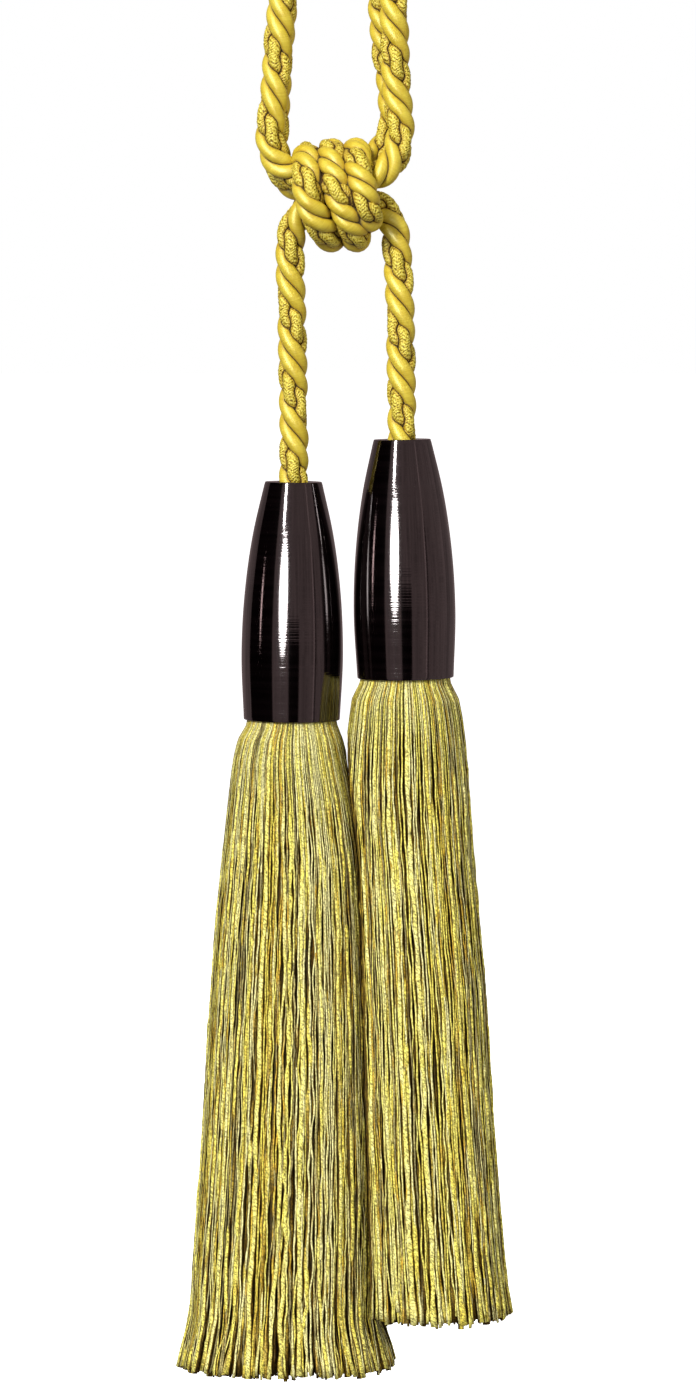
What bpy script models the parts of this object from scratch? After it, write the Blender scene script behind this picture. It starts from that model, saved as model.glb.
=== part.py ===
"""Double-tassel curtain tieback: a doubled plied rope loop, a wound knot, and two tassels with turned heads.

Metres, +Z up, front towards -Y. The origin is the point of the wall hook that the loop hangs on.
All sizes below are in millimetres and become metres through MM.
"""

import math

import bmesh
import bpy
import numpy as np
from mathutils import Vector

MM = 0.001
GAP = 0.3  # clearance between touching solids

# ---- rope -------------------------------------------------------------------
ROPE_R = 4.8
LOOP_STEP = 7.0  # spacing of the points of the loop's tubes
HANGING_STEP = 5.0  # spacing on the short hanging ropes
ROPE_SIDES_RESOLUTION = 3

# ---- knot: three turns round the crossed ropes, axis along X ----------------
KNOT_Z = -176.2
KNOT_R = 18.8
TURN_R = KNOT_R - ROPE_R  # radius of the turns' centreline
KNOT_ANGLES = 44
MOUTH_STEP_IN = 0.4  # the end face starts this far inside the outer turn's lip
MOUTH_STEP = 1.6  # how far the end face stands out from the outer turn's centreline
TURN_ARC = (150, 130, 110, 90, 70, 50, 30)  # degrees round a turn's section, valley to valley
LEFT_LIP = (238, 210, 180)  # degrees round the first turn's section, from the mouth outwards
# A row for each turn: its centre at the top, how far its front slants to the right on the way down, the
# angles below the front (negative above) where the slant starts and ends, and how far the turn sinks into
# the knot at its top and on its underside, where it runs in among the other ropes.
TURN_COLUMNS = ("top_x", "slant", "from_deg", "to_deg", "sink_top", "sink_below")
TURNS = (
    (-10.2, 7.8, -15, 95, 1.3, 0.0),
    (-2.3, 8.0, -45, 75, 0.0, 0.0),
    (6.0, 4.0, -60, 45, 0.0, 4.4),
)
SEAT_CLEARANCE = 0.45  # the ropes are cut by a knot this much larger all round
FACE_SHARE = 2.0  # and this many times as much at its slanted end faces

# ---- heads ------------------------------------------------------------------
HEAD_H = 79.3
HEAD_COLUMNS = ("share_down", "radius")
HEAD_PROFILE = (
    (0.0, 9.5),
    (0.22, 13.4),
    (0.48, 16.1),
    (0.72, 16.95),
    (1.0, 16.05),
)
HEAD_RINGS = 15
HEAD_SIDES = 36
HEAD_EDGE = 0.5  # small chamfer at both ends of the turned side
SOCKET_R = ROPE_R + 0.52
SOCKET_DEPTH = 14.0
CUP_R = 15.35
CUP_DEPTH = 4.0
ROPE_IN_SOCKET = SOCKET_DEPTH - GAP * 1.1
# A row for each tassel: middle of the head's top, and how far the axis leans to +X.
TASSEL_COLUMNS = ("top_x", "top_y", "top_z", "lean_deg")
TASSELS = {
    "left": (-14.8, 1.0, -271.1, -0.45),
    "right": (21.3, -2.0, -256.9, 0.85),
}

# ---- skirts -----------------------------------------------------------------
SKIRT_NECK_R = CUP_R - 0.55
SKIRT_SIDES = 40
SKIRT_ROUNDNESS = 2.25  # power of the sections' superellipse, 2 is an ellipse
BOTTOM_RINGS = (0.93, 0.6, 0.25)  # rings of the cut end, as shares of its outline
# A row for each height: the left, right, front and back reach of the yarn. Where the two skirts press on
# each other the row gives the reach that the yarn would have if it were free.
SKIRT_COLUMNS = ("z", "left", "right", "front", "back")
SKIRTS = {
    "left": (
        (-352.0, -31.2, 0.3, -14.8, 16.6),
        (-356.6, -33.6, 1.8, -16.2, 18.2),
        (-364.0, -35.4, 3.6, -17.3, 19.5),
        (-377.0, -36.9, 6.6, -18.1, 20.6),
        (-395.0, -38.8, 9.6, -19.0, 22.0),
        (-420.0, -41.5, 11.6, -20.0, 23.6),
        (-454.0, -43.9, 13.0, -21.0, 25.4),
        (-506.0, -47.0, 14.6, -22.8, 28.0),
        (-534.0, -49.4, 15.6, -24.0, 29.6),
        (-554.0, -51.2, 17.2, -25.2, 31.0),
        (-567.4, -54.0, 20.0, -26.5, 32.6),
    ),
    "right": (
        (-337.8, 6.6, 38.1, -17.6, 13.8),
        (-343.2, 4.3, 40.5, -19.4, 15.2),
        (-350.0, 3.4, 41.8, -20.5, 16.0),
        (-358.2, 2.4, 42.9, -21.3, 16.7),
        (-369.0, 1.7, 43.8, -22.0, 17.3),
        (-382.0, 1.9, 44.6, -22.7, 18.0),
        (-400.0, 3.0, 45.9, -23.7, 18.9),
        (-439.0, 4.2, 49.6, -25.4, 20.4),
        (-480.0, 5.4, 52.1, -27.0, 21.8),
        (-528.0, 7.0, 55.7, -29.0, 23.6),
        (-548.8, 7.6, 58.3, -30.6, 25.0),
    ),
}
# The cut end is a shallow dome: it hangs this far below the last row in the middle.
SKIRT_SAG = {"left": 1.4, "right": 1.0}
# The plane in which the skirts press on each other: its place at the front, and how it turns to the
# right towards the back.
PRESS_FRONT_Y = -14.0
PRESS_GAP = 0.35  # each skirt stays this far from the plane
PRESS_COLUMNS = ("z", "x", "turn")
PRESS = (
    (-340.0, 2.6, 0.0),
    (-364.0, 3.1, 0.0),
    (-377.0, 4.6, 0.0),
    (-395.0, 6.7, 0.0),
    (-416.0, 7.6, 0.01),
    (-454.0, 8.5, 0.03),
    (-506.0, 10.3, 0.08),
    (-534.0, 11.1, 0.13),
    (-554.0, 11.4, 0.18),
    (-576.0, 14.0, 0.2),
)

# ---- routes of the rope, chosen by hand: x, y, z ------------------------------
ROUTES = {
    "loop_front": (
        (-6.0, -4.6, -171.6),
        (-12.5, -4.97, -170.4),
        (-17.4, -4.97, -168.0),
        (-21.0, -4.97, -163.4),
        (-22.4, -4.97, -157.4),
        (-21.9, -4.97, -150.4),
        (-20.7, -4.97, -141.0),
        (-19.8, -4.97, -128.4),
        (-18.3, -4.97, -112.0),
        (-16.8, -4.97, -86.0),
        (-15.6, -4.97, -56.0),
        (-14.8, -4.97, -30.0),
        (-12.9, -4.97, -11.0),
        (-7.6, -4.97, 1.2),
        (0.0, -4.97, 4.95),
        (7.6, -4.97, 1.2),
        (13.0, -4.97, -11.0),
        (15.2, -4.97, -30.0),
        (16.4, -4.97, -56.0),
        (17.4, -4.97, -86.0),
        (18.4, -4.97, -112.0),
        (18.8, -4.97, -128.4),
        (19.3, -4.97, -141.6),
        (20.2, -4.97, -150.0),
        (20.4, -4.97, -157.6),
        (18.6, -4.97, -164.4),
        (14.6, -4.97, -168.8),
        (10.0, -4.7, -171.0),
        (5.0, -4.6, -172.0),
    ),
    "loop_back": (
        (-5.0, 4.97, -174.4),
        (-12.5, 4.97, -173.6),
        (-17.0, 4.97, -171.0),
        (-19.8, 4.97, -166.4),
        (-20.8, 4.97, -159.4),
        (-20.9, 4.97, -151.0),
        (-20.3, 4.97, -141.0),
        (-19.5, 4.97, -128.4),
        (-18.1, 4.97, -112.0),
        (-16.7, 4.97, -86.0),
        (-15.6, 4.97, -56.0),
        (-14.9, 4.97, -30.0),
        (-13.3, 4.97, -11.0),
        (-8.6, 4.97, 1.2),
        (-1.2, 4.97, 4.95),
        (6.2, 4.97, 1.2),
        (11.2, 4.97, -11.0),
        (13.0, 4.97, -30.0),
        (13.6, 4.97, -56.0),
        (14.0, 4.97, -86.0),
        (14.6, 4.97, -112.0),
        (16.0, 4.97, -128.4),
        (17.8, 4.97, -141.6),
        (18.0, 4.97, -150.0),
        (16.6, 4.97, -157.4),
        (13.4, 4.97, -162.6),
        (9.6, 4.8, -165.6),
        (5.0, 4.7, -167.4),
    ),
    "rope_left": (
        (-4.0, -3.2, -180.0),
        (-9.6, -3.2, -180.8),
        (-13.5, -3.0, -183.7),
        (-15.3, -2.4, -188.6),
        (-15.8, -1.8, -194.6),
        (-15.8, -1.3, -201.0),
        (-15.4, -0.6, -212.0),
        (-15.1, 0.0, -226.0),
        (-14.8, 0.5, -244.0),
        (-14.6, 0.9, -260.0),
    ),
    "rope_right": (
        (5.0, 2.4, -177.4),
        (11.0, 2.4, -178.4),
        (15.4, 2.3, -181.0),
        (18.2, 2.1, -185.6),
        (19.3, 1.6, -192.0),
        (19.9, 1.0, -199.0),
        (20.5, -0.2, -211.0),
        (20.8, -0.9, -225.0),
        (21.1, -1.6, -242.0),
    ),
}

# ---- colours: base colour, roughness, metallic --------------------------------
FINISHES = {
    "satin_rope": ((0.66, 0.52, 0.10, 1.0), 0.45, 0.0),
    "knot_rope": ((0.70, 0.56, 0.12, 1.0), 0.50, 0.0),
    "dark_lacquer": ((0.018, 0.010, 0.011, 1.0), 0.08, 0.0),
    "skirt_yarn": ((0.60, 0.50, 0.13, 1.0), 0.70, 0.0),
}


def clear_scene():
    for obj in list(bpy.data.objects):
        bpy.data.objects.remove(obj)


def make_collection(name):
    collection = bpy.data.collections.new(name)
    bpy.context.scene.collection.children.link(collection)
    return collection


def make_material(name):
    colour, roughness, metallic = FINISHES[name]
    material = bpy.data.materials.new(name)
    material.use_nodes = True
    shader = material.node_tree.nodes["Principled BSDF"]
    shader.inputs["Base Color"].default_value = colour
    shader.inputs["Roughness"].default_value = roughness
    shader.inputs["Metallic"].default_value = metallic
    material.diffuse_color = colour
    return material


def column(table, columns, name):
    """One named column of a short table, as an array."""
    return np.array([row[columns.index(name)] for row in table], float)


def smooth_through(knots, values, at):
    """Monotone-ish cubic through a table's rows: Hermite pieces whose slope at a row is that of its neighbours."""
    slopes = np.gradient(values, knots)
    i = np.clip(np.searchsorted(knots, at, side="right") - 1, 0, len(knots) - 2)
    span = knots[i + 1] - knots[i]
    t = np.clip((at - knots[i]) / span, 0, 1)
    rise_from = (1 + 2 * t) * (1 - t) ** 2 * values[i]
    rise_to = t * t * (3 - 2 * t) * values[i + 1]
    bend_from = t * (1 - t) ** 2 * span * slopes[i]
    bend_to = t * t * (t - 1) * span * slopes[i + 1]
    return rise_from + rise_to + bend_from + bend_to


def smooth_route(route, step):
    """Points a step apart along a smooth curve through a route's own points."""
    points = np.array(route, float)
    along = np.concatenate([[0], np.cumsum(np.linalg.norm(np.diff(points, axis=0), axis=1))])
    fine_at = np.linspace(0, along[-1], 40 * len(points))
    fine = np.stack([smooth_through(along, points[:, k], fine_at) for k in range(3)], axis=1)
    length = np.concatenate([[0], np.cumsum(np.linalg.norm(np.diff(fine, axis=0), axis=1))])
    even = np.linspace(0, length[-1], max(2, round(length[-1] / step) + 1))
    return np.stack([np.interp(even, length, fine[:, k]) for k in range(3)], axis=1)


def new_object(name, mesh, collection, material):
    obj = bpy.data.objects.new(name, mesh)
    collection.objects.link(obj)
    if material:
        mesh.materials.append(material)
    return obj


def grid_mesh(name, rings, smooth=True):
    """A closed mesh from rings of equally many points, capped by a fan at each end's middle point."""
    count = len(rings[0])
    vertices = [point for ring in rings for point in ring]
    faces = []
    for r in range(len(rings) - 1):
        for k in range(count):
            here, after = r * count + k, r * count + (k + 1) % count
            faces.append((here, here + count, after + count, after))
    for ring_start, turn in ((0, 1), ((len(rings) - 1) * count, -1)):
        middle = len(vertices)
        vertices.append(np.mean(vertices[ring_start:ring_start + count], axis=0))
        for k in range(count):
            fan = (ring_start + k, ring_start + (k + 1) % count, middle)
            faces.append(fan[::turn])
    mesh = bpy.data.meshes.new(name)
    mesh.from_pydata([tuple(v * MM) for v in np.array(vertices)], [], faces)
    shell = bmesh.new()
    shell.from_mesh(mesh)
    bmesh.ops.recalc_face_normals(shell, faces=shell.faces)
    shell.to_mesh(mesh)
    shell.free()
    if smooth:
        mesh.shade_smooth()
    return mesh


# ---- knot -------------------------------------------------------------------
def ease(t):
    t = np.clip(t, 0, 1)
    return t * t * (3 - 2 * t)


def turn_place(turn, angle):
    """A turn's centre along X and its radius, at an angle in degrees: -90 top, 0 front, 90 below, 180 back."""
    top_x, slant, from_deg, to_deg, sink_top, sink_below = turn
    down_front = ease((angle - from_deg) / (to_deg - from_deg))
    up_back = ease((angle - 100) / 150)
    above = 1 - ease((angle + 90) / 80) + ease((angle - 190) / 80)
    below = ease((angle - 10) / 60) * (1 - ease((angle - 120) / 90))
    return top_x + slant * (down_front - up_back), TURN_R - sink_top * above - sink_below * below


def knot_section(angle, grow):
    """The knot's outline at one angle, as (x, radius) from the left end's middle to the right end's."""
    radius = ROPE_R + grow
    places = [turn_place(turn, angle) for turn in TURNS]
    first_x, first_r = places[0]
    last_x, last_r = places[-1]
    lip_depth = radius * math.sin(math.radians(LEFT_LIP[0]))
    first_mouth = first_r + lip_depth - MOUTH_STEP_IN
    last_mouth = last_r + lip_depth - MOUTH_STEP_IN
    step_out = MOUTH_STEP + FACE_SHARE * grow
    middle_left = turn_place(TURNS[0], 0.0)[0] - step_out
    middle_right = turn_place(TURNS[-1], 0.0)[0] + step_out
    left_face = first_x - step_out
    right_face = last_x + step_out
    outline = [((middle_left + left_face) / 2, first_mouth / 2), (left_face, first_mouth)]
    for degrees in LEFT_LIP:
        a = math.radians(degrees)
        outline.append((first_x + radius * math.cos(a), first_r + radius * math.sin(a)))
    for n, (centre_x, centre_r) in enumerate(places):
        for degrees in TURN_ARC[1 if n else 0:]:
            a = math.radians(degrees)
            outline.append((centre_x + radius * math.cos(a), centre_r + radius * math.sin(a)))
    for degrees in reversed(LEFT_LIP):
        a = math.radians(180 - degrees)
        outline.append((last_x + radius * math.cos(a), last_r + radius * math.sin(a)))
    outline += [(right_face, last_mouth), ((middle_right + right_face) / 2, last_mouth / 2)]
    return outline


def knot_mesh(name, grow=0.0):
    angles = [-90 + 360 * k / KNOT_ANGLES for k in range(KNOT_ANGLES)]
    sections = [knot_section(angle, grow) for angle in angles]
    rings = []
    for place in zip(*sections):
        ring = []
        for angle, (x, radius) in zip(angles, place):
            a = math.radians(angle)
            ring.append(np.array((x, -radius * math.cos(a), KNOT_Z - radius * math.sin(a))))
        rings.append(ring)
    return grid_mesh(name, rings)


# ---- ropes ------------------------------------------------------------------
def head_frame(side):
    """The middle of a head's top and the unit vector down its axis."""
    top_x, top_y, top_z, lean = TASSELS[side]
    lean = math.radians(lean)
    return np.array((top_x, top_y, top_z)), np.array((math.sin(lean), 0.0, -math.cos(lean)))


def rope_mesh(name, points):
    """A tube along the points as a closed mesh, its caps welded on."""
    curve = bpy.data.curves.new(name + "_line", "CURVE")
    curve.dimensions = "3D"
    curve.bevel_depth = ROPE_R * MM
    curve.bevel_resolution = ROPE_SIDES_RESOLUTION
    curve.use_fill_caps = True
    spline = curve.splines.new("POLY")
    spline.points.add(len(points) - 1)
    for point, place in zip(spline.points, points):
        point.co = (*(place * MM), 1.0)
    line = bpy.data.objects.new(name + "_line", curve)
    bpy.context.scene.collection.objects.link(line)
    seen = line.evaluated_get(bpy.context.evaluated_depsgraph_get())
    mesh = bpy.data.meshes.new_from_object(seen)
    mesh.name = name
    bpy.data.objects.remove(line)
    shell = bmesh.new()
    shell.from_mesh(mesh)
    bmesh.ops.remove_doubles(shell, verts=shell.verts, dist=0.01 * MM)
    bmesh.ops.recalc_face_normals(shell, faces=shell.faces)
    shell.to_mesh(mesh)
    shell.free()
    mesh.shade_smooth()
    return mesh


def cut_with(obj, cutter):
    cut = obj.modifiers.new("seat", "BOOLEAN")
    cut.operation = "DIFFERENCE"
    cut.object = cutter
    cut.solver = "EXACT"


def make_rope(name, route, step, collection, material, cutter):
    obj = new_object(name, rope_mesh(name, smooth_route(route, step)), collection, material)
    cut_with(obj, cutter)
    return obj


def hanging_route(name, side):
    """A hanging rope's route with its last points on the head's axis, down to its socket's floor."""
    top, down = head_frame(side)
    return (*ROUTES[name], tuple(top), tuple(top + down * ROPE_IN_SOCKET))


# ---- heads ------------------------------------------------------------------
def head_outline():
    """The turned profile as (radius, height below the top), from the socket's floor round to the cup's ceiling."""
    shares = column(HEAD_PROFILE, HEAD_COLUMNS, "share_down")
    radii = column(HEAD_PROFILE, HEAD_COLUMNS, "radius")
    at = np.linspace(0, 1, HEAD_RINGS)
    side = list(zip(smooth_through(shares, radii, at), at * HEAD_H))
    top_r, bottom_r = side[0][0], side[-1][0]
    outline = [(0.0, SOCKET_DEPTH), (SOCKET_R, SOCKET_DEPTH), (SOCKET_R, 0.0), (top_r - HEAD_EDGE, 0.0)]
    outline += [(top_r, HEAD_EDGE)] + side[1:-1] + [(bottom_r, HEAD_H - HEAD_EDGE)]
    outline += [(bottom_r - HEAD_EDGE / 2, HEAD_H), (CUP_R, HEAD_H)]
    outline += [(CUP_R, HEAD_H - CUP_DEPTH), (0.0, HEAD_H - CUP_DEPTH)]
    return outline


def make_head(side, collection, material):
    name = "head_" + side
    outline = head_outline()
    mesh = bpy.data.meshes.new(name)
    edges = [(k, k + 1) for k in range(len(outline) - 1)]
    mesh.from_pydata([(radius * MM, 0.0, -drop * MM) for radius, drop in outline], edges, [])
    head = new_object(name, mesh, collection, material)
    turning = head.modifiers.new("turning", "SCREW")
    turning.axis = "Z"
    turning.angle = math.tau
    turning.steps = HEAD_SIDES
    turning.render_steps = HEAD_SIDES
    turning.use_merge_vertices = True
    turning.merge_threshold = 0.00001
    turning.use_smooth_shade = True
    top, down = head_frame(side)
    head.location = Vector(top) * MM
    head.rotation_euler = (0.0, math.atan2(-down[0], -down[2]), 0.0)
    return head


# ---- skirts -----------------------------------------------------------------
def press_plane(z):
    heights = column(PRESS, PRESS_COLUMNS, "z")[::-1]
    place = np.interp(z, heights, column(PRESS, PRESS_COLUMNS, "x")[::-1])
    turn = np.interp(z, heights, column(PRESS, PRESS_COLUMNS, "turn")[::-1])
    return place, turn


def skirt_section(side, left, right, front, back, z):
    """One outline of a skirt: a superellipse, cut flat where it presses on the other skirt."""
    ring = []
    place, turn = press_plane(z)
    for k in range(SKIRT_SIDES):
        a = math.tau * k / SKIRT_SIDES
        reach_x = math.copysign(abs(math.cos(a)) ** (2 / SKIRT_ROUNDNESS), math.cos(a))
        reach_y = math.copysign(abs(math.sin(a)) ** (2 / SKIRT_ROUNDNESS), math.sin(a))
        x = (left + right) / 2 + reach_x * (right - left) / 2
        y = (front + back) / 2 + reach_y * (back - front) / 2
        wall = place + turn * (y - PRESS_FRONT_Y)
        x = min(x, wall - PRESS_GAP) if side == "left" else max(x, wall + PRESS_GAP)
        ring.append(np.array((x, y, z)))
    return ring


def neck_ring(side, drop):
    """A round ring of the bundle inside the cup, square to the head's axis."""
    top, down = head_frame(side)
    centre = top + down * drop
    across = np.array((-down[2], 0.0, down[0]))
    ring = []
    for k in range(SKIRT_SIDES):
        a = math.tau * k / SKIRT_SIDES
        ring.append(centre + SKIRT_NECK_R * (across * math.cos(a) + np.array((0, 1, 0)) * math.sin(a)))
    return ring


def make_skirt(side, collection, material):
    name = "skirt_" + side
    rings = [neck_ring(side, HEAD_H - CUP_DEPTH + GAP), neck_ring(side, HEAD_H)]
    for row in SKIRTS[side]:
        z, left, right, front, back = row
        rings.append(skirt_section(side, left, right, front, back, z))
    last = np.array(rings[-1])
    middle = (last.min(0) + last.max(0)) / 2
    for share in BOTTOM_RINGS:
        dome = SKIRT_SAG[side] * (1 - share * share)
        rings.append([middle + (point - middle) * share - np.array((0, 0, dome)) for point in last])
    return new_object(name, grid_mesh(name, rings), collection, material)


def main():
    clear_scene()
    parts = make_collection("tieback_tassel")
    cutters = make_collection("cutters")
    finish = {name: make_material(name) for name in FINISHES}
    new_object("knot", knot_mesh("knot"), parts, finish["knot_rope"])
    cutter = new_object("knot_seat", knot_mesh("knot_seat", SEAT_CLEARANCE), cutters, None)
    cutter.hide_render = True
    cutter.display_type = "WIRE"
    for name in ("loop_front", "loop_back"):
        make_rope(name, ROUTES[name], LOOP_STEP, parts, finish["satin_rope"], cutter)
    for side in TASSELS:
        name = "rope_" + side
        make_rope(name, hanging_route(name, side), HANGING_STEP, parts, finish["satin_rope"], cutter)
        make_head(side, parts, finish["dark_lacquer"])
        make_skirt(side, parts, finish["skirt_yarn"])


main()
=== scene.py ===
"""A double-tassel curtain tieback in golden yellow rope and yarn, with dark lacquered heads.

The object hangs from the point where its rope loop rests on a wall hook, which is the origin. Lengths
in the tables are millimetres and become metres through MM.
"""

import math

import bpy
import numpy as np
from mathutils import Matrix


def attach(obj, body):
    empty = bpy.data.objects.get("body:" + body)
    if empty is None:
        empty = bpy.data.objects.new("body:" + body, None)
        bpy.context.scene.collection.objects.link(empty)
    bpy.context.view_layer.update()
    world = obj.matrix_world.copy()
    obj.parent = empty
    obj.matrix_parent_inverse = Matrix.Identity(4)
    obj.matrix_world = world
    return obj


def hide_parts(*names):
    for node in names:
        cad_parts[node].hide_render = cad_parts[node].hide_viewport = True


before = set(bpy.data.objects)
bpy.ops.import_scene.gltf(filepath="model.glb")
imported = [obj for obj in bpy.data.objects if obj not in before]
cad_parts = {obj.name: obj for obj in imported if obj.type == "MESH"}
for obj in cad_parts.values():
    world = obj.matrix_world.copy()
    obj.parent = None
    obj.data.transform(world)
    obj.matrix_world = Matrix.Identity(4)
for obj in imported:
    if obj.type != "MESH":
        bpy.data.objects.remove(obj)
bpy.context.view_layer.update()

MM = 0.001

# ------------------------------
# The camera, floor and light. The tieback hangs well above a plain pale floor in a white room. A tall soft
# lamp stands above on the left, weaker ones on the right and behind, and an oval one shows in the lacquer.
scene = bpy.context.scene
VIEW_PIXELS_HIGH = 1400
FOCAL_PIXELS = 5716.0
CAMERA_PLACE = (3.33, -1900.0, -201.0)
PITCH_DEG = 4.3

lens = bpy.data.cameras.new("camera")
lens.sensor_width = 36.0
lens.lens = FOCAL_PIXELS / VIEW_PIXELS_HIGH * lens.sensor_width
camera = bpy.data.objects.new("camera", lens)
camera.location = tuple(part * MM for part in CAMERA_PLACE)
camera.rotation_euler = (math.radians(90 - PITCH_DEG), 0.0, 0.0)
scene.collection.objects.link(camera)
scene.camera = camera
scene.view_settings.view_transform = "Standard"

FLOOR_Z = -0.78
FLOOR_HALF = 30.0
FLOOR_GLOW = 0.9


def fill(node, sockets):
    """Gives a node's sockets, by name or number, their values, or links them to other nodes' outputs."""
    for key, source in sockets.items():
        if isinstance(source, bpy.types.NodeSocket):
            node.id_data.links.new(source, node.inputs[key])
        elif source is not None:
            node.inputs[key].default_value = source


class Net:
    """Short ways to add nodes to one tree, fed with numbers, colours and other nodes' outputs."""

    def __init__(self, tree):
        self.tree = tree

    def add(self, kind, sockets=None, **settings):
        """A node of a kind with its settings made and its sockets filled."""
        node = self.tree.nodes.new(kind)
        for key, value in settings.items():
            setattr(node, key, value)
        fill(node, sockets or {})
        return node

    def calc(self, operation, *terms):
        """The result of a Math node on its terms, in order."""
        return self.add("ShaderNodeMath", dict(enumerate(terms)), operation=operation).outputs[0]

    def remap(self, value, from_min, from_max, to_min=0.0, to_max=1.0):
        """A value carried in proportion from one range to another, and kept inside that."""
        limits = {"From Min": from_min, "From Max": from_max, "To Min": to_min, "To Max": to_max}
        return self.add("ShaderNodeMapRange", {"Value": value, **limits}).outputs["Result"]

    def mix(self, share, first, second, kind="FLOAT"):
        """A blend of two numbers, or of two colours where the kind is RGBA: the first at share 0, the second at 1."""
        slot = 2 if kind == "FLOAT" else 6
        node = self.add("ShaderNodeMix", {"Factor": share, slot: first, slot + 1: second}, data_type=kind)
        return node.outputs[0 if kind == "FLOAT" else 2]

    def noise(self, place, scale, detail, roughness=0.5):
        """Soft noise from 0 to 1 at a place."""
        sockets = {"Vector": place, "Scale": scale, "Detail": detail, "Roughness": roughness}
        return self.add("ShaderNodeTexNoise", sockets).outputs["Fac"]

    def place(self, kind):
        """Texture coordinates of a kind."""
        return self.add("ShaderNodeTexCoord").outputs[kind]

    def split(self, vector):
        """The X, Y and Z of a vector."""
        return self.add("ShaderNodeSeparateXYZ", {0: vector}).outputs[:3]


def plain_material(name, colour, roughness, specular=None, tint=None):
    """A material of one colour, roughness, specular level and tint, its shader, and ways to add nodes to it."""
    material = bpy.data.materials.new(name)
    material.use_nodes = True
    shader = material.node_tree.nodes["Principled BSDF"]
    fill(shader, {"Base Color": (*colour, 1.0), "Roughness": roughness, "Specular IOR Level": specular,
                  "Specular Tint": tint and (*tint, 1.0)})
    return material, shader, Net(material.node_tree)


floor_mesh = bpy.data.meshes.new("floor")
floor_corners = [(x * FLOOR_HALF, y * FLOOR_HALF, FLOOR_Z) for x, y in ((-1, -1), (1, -1), (1, 1), (-1, 1))]
floor_mesh.from_pydata(floor_corners, [], [(0, 1, 2, 3)])
floor_paint, floor_shader, _ = plain_material("pale_floor", (0.9, 0.9, 0.9), 0.9)
fill(floor_shader, {"Emission Color": (1.0, 1.0, 1.0, 1.0), "Emission Strength": FLOOR_GLOW})
floor_mesh.materials.append(floor_paint)
floor = bpy.data.objects.new("floor", floor_mesh)
floor.visible_diffuse = floor.visible_glossy = False
scene.collection.objects.link(floor)


# How bright the room is to the eye, to matt surfaces and in a polished one. Then a row for each place that a
# polished surface reflects otherwise: from and to in degrees right of the front and up, and how bright it is.
ROOM_SEEN = 1.0
ROOM_ON_MATT = 0.34
ROOM_IN_GLOSS = 0.44
ROOM_GLOSS_TINT = (1.0, 0.74, 0.74)
ROOM_PATCHES = (
    (-112.0, -46.0, -90.0, 40.0, 0.0),
    (-79.5, -76.5, 0.0, 7.5, 8.0),
    (-8.0, 16.0, -90.0, 1.5, 0.0),
    (26.0, 30.0, -90.0, 14.0, 0.35),
    (50.0, 53.0, -90.0, 30.0, 1.0),
    (53.0, 57.0, -90.0, 12.0, 0.1),
    (78.0, 112.0, -90.0, 30.0, 0.45),
    (112.0, 180.0, -90.0, 90.0, 0.3),
    (-180.0, -112.0, -90.0, 90.0, 0.3),
)

world = bpy.data.worlds.new("white_room")
world.use_nodes = True
net = Net(world.node_tree)
toward_x, toward_y, toward_z = net.split(net.place("Generated"))
bearing = net.calc("ARCTAN2", toward_x, net.calc("MULTIPLY", toward_y, -1.0))
height = net.calc("ARCSINE", toward_z)
in_gloss = ROOM_IN_GLOSS
for from_left, to_right, from_low, to_high, brightness in ROOM_PATCHES:
    inside = 1.0
    for angle, low, high in ((bearing, from_left, to_right), (height, from_low, to_high)):
        for operation, limit in (("GREATER_THAN", low), ("LESS_THAN", high)):
            inside = net.calc("MULTIPLY", inside, net.calc(operation, angle, math.radians(limit)))
    in_gloss = net.mix(inside, in_gloss, brightness)
clutter = net.remap(net.noise(None, 14.0, 3.0), 0.3, 0.7, 0.62, 1.38)
in_gloss = net.calc("MULTIPLY", in_gloss, clutter)
path = net.add("ShaderNodeLightPath").outputs
lit = net.mix(path["Is Glossy Ray"], ROOM_ON_MATT, in_gloss)
seen = net.mix(path["Is Camera Ray"], lit, ROOM_SEEN)
colour = net.mix(path["Is Glossy Ray"], (1.0, 1.0, 1.0, 1.0), (*ROOM_GLOSS_TINT, 1.0), kind="RGBA")
fill(world.node_tree.nodes["Background"], {"Color": colour, "Strength": seen})
scene.world = world

MIDDLE = np.array((0.0, 0.0, -0.30))


def soft_lamp(name, bearing_deg, height_deg, distance, size, brightness, shape="RECTANGLE", on_matt=True,
              in_gloss=True):
    """A lamp that faces the tieback's middle from a bearing off the front and a height, both in degrees. Its power
    is brightness times its width times its height times pi."""
    light = bpy.data.lights.new(name, "AREA")
    light.shape = shape
    light.size, light.size_y = size
    light.energy = brightness * size[0] * size[1] * math.pi
    bearing, up = math.radians(bearing_deg), math.radians(height_deg)
    away = np.array((math.sin(bearing) * math.cos(up), -math.cos(bearing) * math.cos(up), math.sin(up)))
    lamp = bpy.data.objects.new(name, light)
    lamp.location = MIDDLE + distance * away
    lamp.rotation_euler = (math.pi / 2 - up, 0.0, bearing)
    lamp.visible_camera = False
    lamp.visible_diffuse = on_matt
    lamp.visible_glossy = in_gloss
    scene.collection.objects.link(lamp)


soft_lamp("strip_lamp", -22.0, 7.0, 1.5, (0.52, 0.54), 30.0, shape="ELLIPSE", on_matt=False)
soft_lamp("high_lamp", -28.0, 32.0, 3.0, (0.24, 1.1), 138.0)
soft_lamp("right_lamp", 42.0, 18.0, 3.0, (1.0, 1.0), 8.0, in_gloss=False)
soft_lamp("back_lamp", 176.0, 16.0, 3.0, (1.2, 1.2), 16.0, in_gloss=False)

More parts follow.
